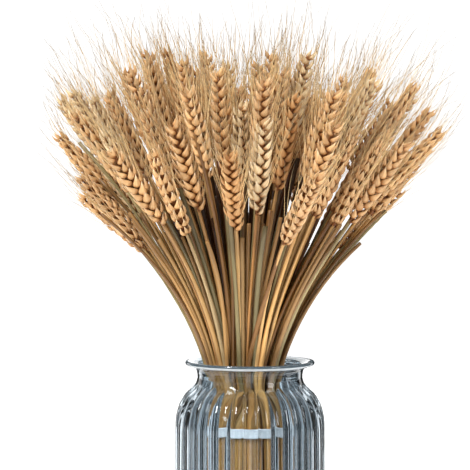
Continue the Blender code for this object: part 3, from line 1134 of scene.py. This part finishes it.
@dataclass
class Vase:
    """The ribbed glass vase, finer than its solid and inside the same outline."""

    ribs: int = 36
    steps_a_rib: int = 12
    rib_depth: float = 1.6
    arch_low: float = 145.0
    arch_height: float = 8.0
    fade_high: float = 158.0
    foot_high: float = 14.0
    arch_fullness: float = 0.62
    ring_pitch: float = 2.1
    ring_height: float = 0.26
    rings_low: float = 157.0
    rings_high: float = 165.0
    plain_above: float = 166.0
    plain_below: float = 0.5
    lip_low: float = 169.2
    # Above this height the lip's downward faces wear a painted reflection
    painted_reflection_low: float = 167.2
    inside: tuple[tuple[float, float], ...] = (
        (47, 8), (56.6, 19), (56.6, 119), (53.6, 133), (42.6, 147.5), (40, 153), (40.1, 164.2),
        (41.4, 167.6), (44.6, 169.7), (49.4, 171.2),
    )
    outside: tuple[tuple[float, float], ...] = (
        (51.2, 171.2), (51.9, 169.8), (51.0, 168.2), (47.0, 166.7), (44.0, 165.4), (42.6, 162.2),
        (42.5, 156.5), (45.6, 151), (52.6, 144), (57.6, 134.5), (60, 121), (60, 20), (57.2, 8), (50, 0),
    )
    inside_step: float = 2.0
    outside_step: float = 0.7
    # A straight run longer than this gets no more steps, and a bend pulls its ends by this much
    longest_run: float = 14.0
    pull: float = 1.2

    def eased(self, corners: tuple[tuple[float, float], ...], spacing: float) -> Array:
        """A smooth curve through the profile's corners.

        Args:
            corners: Radius and height of each corner, in millimetres.
            spacing: The length of one step of the curve, in millimetres.

        Returns:
            Radius and height along the curve.
        """
        c = np.array(corners, dtype=float)
        before, after = np.vstack([c[:1], c[:-2]]), np.vstack([c[2:], c[-1:]])
        runs = []
        for a, b, p, q in zip(c[:-1], c[1:], before, after):
            span = np.linalg.norm(b - a)
            count = max(2, round(min(span, self.longest_run) / spacing))
            t = (np.arange(count) / count)[:, None]
            from_a = unit(b - p) * min(span, np.linalg.norm(a - p) * self.pull + 1e-9)
            to_b = unit(q - a) * min(span, np.linalg.norm(q - b) * self.pull + 1e-9)
            leave = a * (2 * t**3 - 3 * t**2 + 1) + from_a * (t**3 - 2 * t**2 + t)
            runs.append(leave + b * (3 * t**2 - 2 * t**3) + to_b * (t**3 - t**2))
        return np.vstack([*runs, c[-1:]])

    def ribbed(self, radius: float, height: float, across: Array) -> Array:
        """The outer radius round one ring: ribs that bulge between grooves and end in round arches.

        Args:
            radius: The radius at the ribs' crests, in millimetres.
            height: The ring's height, in millimetres.
            across: Each column's place across its rib, from -1 to 1.

        Returns:
            The radius of each column.
        """
        arch = np.clip((height - self.arch_low) / self.arch_height, 0, 1)
        foot = np.clip((self.foot_high - height) / self.foot_high, 0, 1)
        bulge = np.clip(1 - across**2 - arch**2 - foot**2, 0, 1) ** self.arch_fullness
        depth = self.rib_depth * smooth((self.fade_high - height) / (self.fade_high - self.arch_low))
        ringed = self.rings_low < height < self.rings_high
        rings = self.ring_height * math.sin(2 * math.pi * height / self.ring_pitch) * ringed
        return radius - depth * (1 - bulge) - abs(rings)

    def finish_of(self, face: bpy.types.MeshPolygon) -> int:
        """Chooses a face's finish: the pressed wall, the lip, or the lip's lower edge, painted bright as a
        reflection.

        Args:
            face: One face of the vase.

        Returns:
            The number of its material slot.
        """
        high = face.center.z / MM
        if high > self.lip_low:
            return 1
        return 2 if high > self.painted_reflection_low and face.normal.z < 0 else 0

    def build(self) -> bpy.types.Object:
        """Builds the vase as one closed wall.

        Returns:
            The piece.
        """
        columns = self.ribs * self.steps_a_rib
        across = 2 * ((np.arange(columns) / self.steps_a_rib + 0.5) % 1) - 1
        inner = self.eased(self.inside, self.inside_step)
        outer = self.eased(self.outside, self.outside_step)
        radii = [np.full(columns, radius) for radius, _ in inner]
        for radius, height in outer:
            plain = height > self.plain_above or height < self.plain_below
            radii.append(np.full(columns, radius) if plain else self.ribbed(radius, height, across))
        heights = np.concatenate([inner[:, 1], outer[:, 1]])
        mesh = turned_mesh("ribbed_vase", np.array(radii), heights, inner[0][1])
        # The lip's lower edge wears a paler, milkier glass: a painted reflection of the pale floor, drawn
        # as a bright line
        lip, edge = PolishedLip(), PolishedLip("fire_polished_lip_painted_reflection", "#EEF3F6", 0.45)
        for glass in (PressedGlass(), lip, edge):
            mesh.materials.append(glass.material())
        for face in mesh.polygons:
            face.material_index = self.finish_of(face)
        piece = placed("ribbed_vase", mesh)
        # Light passes clear glass, so the straws inside are lit as brightly as those above
        piece.visible_shadow = False
        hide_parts("vase")
        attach(piece, BODY)
        return piece


@dataclass
class Band:
    """The clear band round the bundle, with a rolled edge above and below."""

    low: float = 112.2
    high: float = 119.8
    inner: float = 24.25
    thickness: float = 0.5
    roll: float = 0.72
    roll_height: float = 1.2
    rows: int = 9
    columns: int = 120

    def build(self) -> bpy.types.Object:
        """Builds the band as one closed hoop.

        Returns:
            The piece.
        """
        heights = np.linspace(self.low, self.high, self.rows)
        edge = np.minimum(heights - self.low, self.high - heights)
        outer = self.inner + np.where(edge < self.roll_height, self.roll, self.thickness)
        outer[[0, -1]] = self.inner + self.thickness
        radii = np.concatenate([np.full(len(heights), self.inner), outer[::-1]])
        rings = np.repeat(radii[:, None], self.columns, axis=1)
        mesh = turned_mesh("tie_band", rings, np.concatenate([heights, heights[::-1]]), None)
        mesh.materials.append(ClearFilm().material())
        piece = placed("tie_band", mesh)
        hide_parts("band")
        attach(piece, BODY)
        return piece


@dataclass(frozen=True)
class SoftLamp:
    """One square lamp: where it stands, its width and power, and the point it faces."""

    name: str
    place: tuple[float, float, float]
    size: float
    power: float
    aim: tuple[float, float, float]


@dataclass
class Studio:
    """A white stage, soft lamps, black flags for the glass, and the photograph's point of view.

    The lamps are a key above the camera's left, a fill at its right, and one that lights the backdrop.
    """

    camera_at: tuple[float, float, float] = (-0.012, -1.08, 0.272)
    lens: float = 103.0
    sensor_width: float = 36.0
    sweep_half_width: float = 2.6
    sweep_bend: float = 0.5
    floor_end: float = 1.3
    backdrop_top: float = 3.0
    sweep_pale: float = 0.92
    sweep_glow: float = 0.42
    tent_half_width: float = 9.0
    flags: int = 8
    flag_distance: float = 0.42
    flag_half_angle: float = math.radians(13)
    flag_wider_right: float = 1.25
    flag_low: float = 0.002
    flag_high: float = 0.7
    world_light: float = 0.20
    lamps: tuple[SoftLamp, ...] = (
        SoftLamp("key", (-1.1, -1.5, 1.7), 0.8, 60, (0, 0, 0.3)),
        SoftLamp("fill", (1.5, -1.1, 0.9), 1.0, 18, (0, 0, 0.3)),
        SoftLamp("back", (0.0, 0.9, 1.9), 1.6, 20, (0, 1.6, 0.6)),
    )

    def build(self) -> None:
        """Builds the stage, the lamps, the world and the camera."""
        self.add_sweep()
        self.add_tent()
        self.add_flags()
        self.add_lamps()
        camera = bpy.data.cameras.new("camera")
        camera.lens = self.lens
        camera.sensor_width = self.sensor_width
        holder = placed("camera", camera)
        holder.location = self.camera_at
        holder.rotation_euler = (math.pi / 2, 0, 0)
        bpy.context.scene.camera = holder
        bpy.context.scene.view_settings.view_transform = "Standard"

    def staged(self, name: str, verts: list, faces: list, color: float, glow: float) -> bpy.types.Object:
        """Adds a plain matt sheet of the stage.

        Args:
            name: Its name.
            verts: Its corners.
            faces: Its faces.
            color: How pale it is.
            glow: How much light it gives off.

        Returns:
            The sheet.
        """
        mesh = bpy.data.meshes.new(name)
        mesh.from_pydata(verts, [], faces)
        mesh.shade_smooth()
        finish, _, shader = node_material(name)
        shader.inputs["Base Color"].default_value = (color, color, color, 1)
        shader.inputs["Roughness"].default_value = 0.9
        shader.inputs["Emission Color"].default_value = (1, 1, 1, 1)
        shader.inputs["Emission Strength"].default_value = glow
        mesh.materials.append(finish)
        sheet = placed(name, mesh)
        return sheet

    def add_sweep(self) -> None:
        """Adds the floor, and a curved backdrop that the glass sees and that hides nothing from behind."""
        half, bend = self.sweep_half_width, self.sweep_bend
        turns = np.linspace(0, math.pi / 2, 13)
        curve = [(self.floor_end + math.sin(a) * bend, bend - math.cos(a) * bend) for a in turns]
        top = (self.floor_end + bend, self.backdrop_top)
        for name, line in (("floor", [(-half, 0.0), curve[0]]), ("backdrop", [*curve, top])):
            verts = [(x, y, z) for y, z in line for x in (-half, half)]
            faces = [(2 * i, 2 * i + 1, 2 * i + 3, 2 * i + 2) for i in range(len(line) - 1)]
            sheet = self.staged(name, verts, faces, self.sweep_pale, self.sweep_glow)
            sheet.visible_camera = name == "floor"

    def add_tent(self) -> None:
        """Adds a white tent round everything, the ground colour of each view, which lights nothing."""
        size = self.tent_half_width
        verts = [(x, y, z) for z in (-size, size) for y in (-size, size) for x in (-size, size)]
        faces = [(0, 1, 3, 2), (4, 6, 7, 5), (0, 4, 5, 1), (2, 3, 7, 6), (0, 2, 6, 4), (1, 5, 7, 3)]
        tent = self.staged("white_tent", verts, faces, 0.9, 1.0)
        tent.visible_diffuse = tent.visible_shadow = False
        tent.visible_glossy = tent.visible_transmission = False

    def add_flags(self) -> None:
        """Adds black flags round the object, which draw dark lines in the glass and shade nothing."""
        verts, faces = [], []
        for k in range(self.flags):
            middle = (k + 0.5) * 2 * math.pi / self.flags
            wider = self.flag_wider_right if math.cos(middle) > 0 else 1.0
            for side in (-1, 1):
                turn = middle + side * self.flag_half_angle * wider
                x, y = math.cos(turn) * self.flag_distance, math.sin(turn) * self.flag_distance
                verts += [(x, y, self.flag_low), (x, y, self.flag_high)]
            faces.append((4 * k, 4 * k + 2, 4 * k + 3, 4 * k + 1))
        sheet = self.staged("black_flags", verts, faces, 0.015, 0.0)
        sheet.visible_camera = sheet.visible_diffuse = sheet.visible_shadow = False

    def add_lamps(self) -> None:
        """Adds the lamps and a pale world."""
        world = bpy.data.worlds.new("studio")
        world.use_nodes = True
        sky = world.node_tree.nodes["Background"]
        sky.inputs["Color"].default_value = (1, 1, 1, 1)
        sky.inputs["Strength"].default_value = self.world_light
        bpy.context.scene.world = world
        for plan in self.lamps:
            lamp = bpy.data.lights.new(plan.name, "AREA")
            lamp.size = plan.size
            lamp.energy = plan.power
            holder = placed(plan.name, lamp)
            holder.location = plan.place
            way = np.array(plan.aim) - np.array(plan.place)
            pitch = math.atan2(math.hypot(way[0], way[1]), -way[2])
            holder.rotation_euler = (pitch, 0, math.atan2(way[1], way[0]) - math.pi / 2)


def main() -> None:
    """Builds every piece in order."""
    logging.basicConfig(level=logging.INFO, format="%(name)s: %(message)s")
    Studio().build()
    materials = [finish.value.material() for finish in Finish]
    pieces = [Vase().build(), Band().build(), BareStraws().build(materials), DriedLeaves().build(materials)]
    pieces += [WheatPair(number).build(materials) for number in range(len(PLANTING.draws))]
    for piece in pieces:
        LOG.info("%s: %d faces", piece.name, len(piece.data.polygons))


if __name__ == "__main__":
    main()
